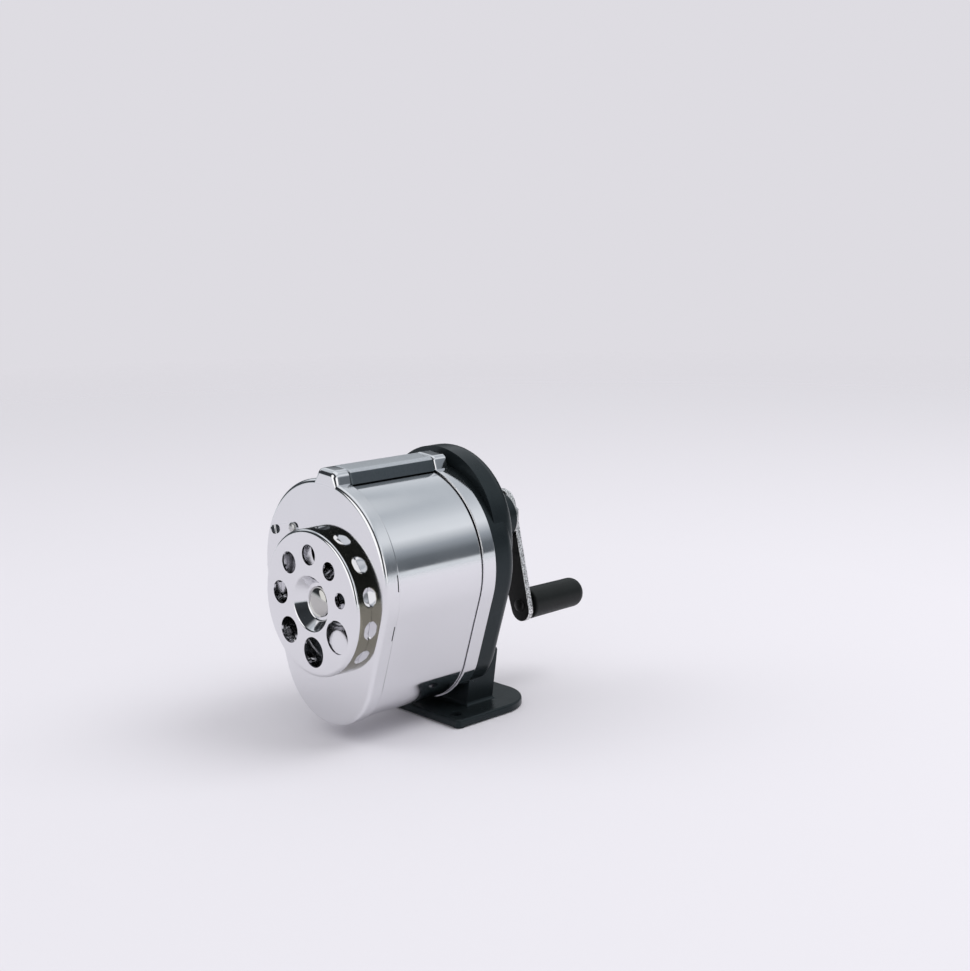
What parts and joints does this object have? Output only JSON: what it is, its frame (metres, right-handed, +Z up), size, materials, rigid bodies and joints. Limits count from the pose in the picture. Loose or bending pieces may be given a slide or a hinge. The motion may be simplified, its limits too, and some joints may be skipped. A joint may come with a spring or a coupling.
{
  "type": "crank pencil sharpener",
  "caption": "Hand-cranked pencil sharpener with an egg-shaped bright shavings drum, a turning pencil-size dial, and a black stand with a foot to screw down.",
  "frame": {"origin": "midway between the two front screw holes of the foot, on the surface that the foot stands on", "axes": "+Z up; +Y along the crank axis from the dial at the front to the crank at the rear; +X to the right of someone facing the dial"},
  "size_m": [0.071, 0.1288, 0.102],
  "materials": {
    "black_enamel": "satin black enamel on a casting",
    "bright_plate": "bright nickel-chrome plate",
    "satin_strip": "satin grey strip",
    "gear_steel": "machined steel, oiled",
    "fastener_steel": "bright zinc",
    "bush_bronze": "sintered bronze",
    "cast_alloy": "as cast",
    "arm_black": "black faces with bare sheared edges",
    "knob_black": "black moulded plastic",
    "cutter_steel": "hardened steel"
  },
  "bodies": {
    "stand": {"stand": "black_enamel", "shaft_bush": "bush_bronze", "rear_band": "bright_plate", "ring_gear": "gear_steel", "ring_gear_screws": "fastener_steel"},
    "receptacle": {"front_cap": "bright_plate", "drum_shell": "bright_plate", "ridge_cover": "satin_strip", "dial_rivet": "bright_plate", "dial_spacer": "fastener_steel", "dial_washer": "fastener_steel", "index_spring": "bright_plate", "index_rivet": "fastener_steel", "pencil_guide": "fastener_steel"},
    "dial": {"dial": "bright_plate"},
    "crank": {"cutter_carrier": "cast_alloy", "cutter_pins": "gear_steel", "drive_shaft": "gear_steel", "thrust_washer": "fastener_steel", "crank_washer": "fastener_steel", "crank_nut": "fastener_steel", "crank_arm": "arm_black", "knob_pin": "arm_black"},
    "upper_cutter": {"upper_cutter": "cutter_steel", "upper_pinion": "gear_steel"},
    "lower_cutter": {"lower_cutter": "cutter_steel", "lower_pinion": "gear_steel"},
    "knob": {"crank_knob": "knob_black"}
  },
  "joints": [
    {"name": "crank_turn", "type": "hinge", "parent": "stand", "child": "crank", "pos_m": [0, 0.0451, 0.07], "axis": [0, 1, 0], "continuous": true},
    {"name": "knob_spin", "type": "hinge", "parent": "crank", "child": "knob", "pos_m": [0.00945, 0.0476, 0.03474], "axis": [0, 1, 0], "continuous": true},
    {"name": "upper_cutter_spin", "type": "hinge", "parent": "crank", "child": "upper_cutter", "pos_m": [0, 0.013, 0.0785], "axis": [0, 0.9816, -0.1908], "continuous": true},
    {"name": "lower_cutter_spin", "type": "hinge", "parent": "crank", "child": "lower_cutter", "pos_m": [0, 0.013, 0.0615], "axis": [0, 0.9816, 0.1908], "continuous": true},
    {"name": "drum_pull", "type": "slide", "parent": "stand", "child": "receptacle", "axis": [0, -1, 0], "range_m": [0, 0.07]},
    {"name": "dial_turn", "type": "hinge", "parent": "receptacle", "child": "dial", "pos_m": [0, -0.0442, 0.0521], "axis": [0, 1, 0], "continuous": true}
  ],
  "couplings": [
    {"joint": "upper_cutter_spin", "follows": "crank_turn", "ratio": -2.25},
    {"joint": "lower_cutter_spin", "follows": "crank_turn", "ratio": -2.25}
  ]
}
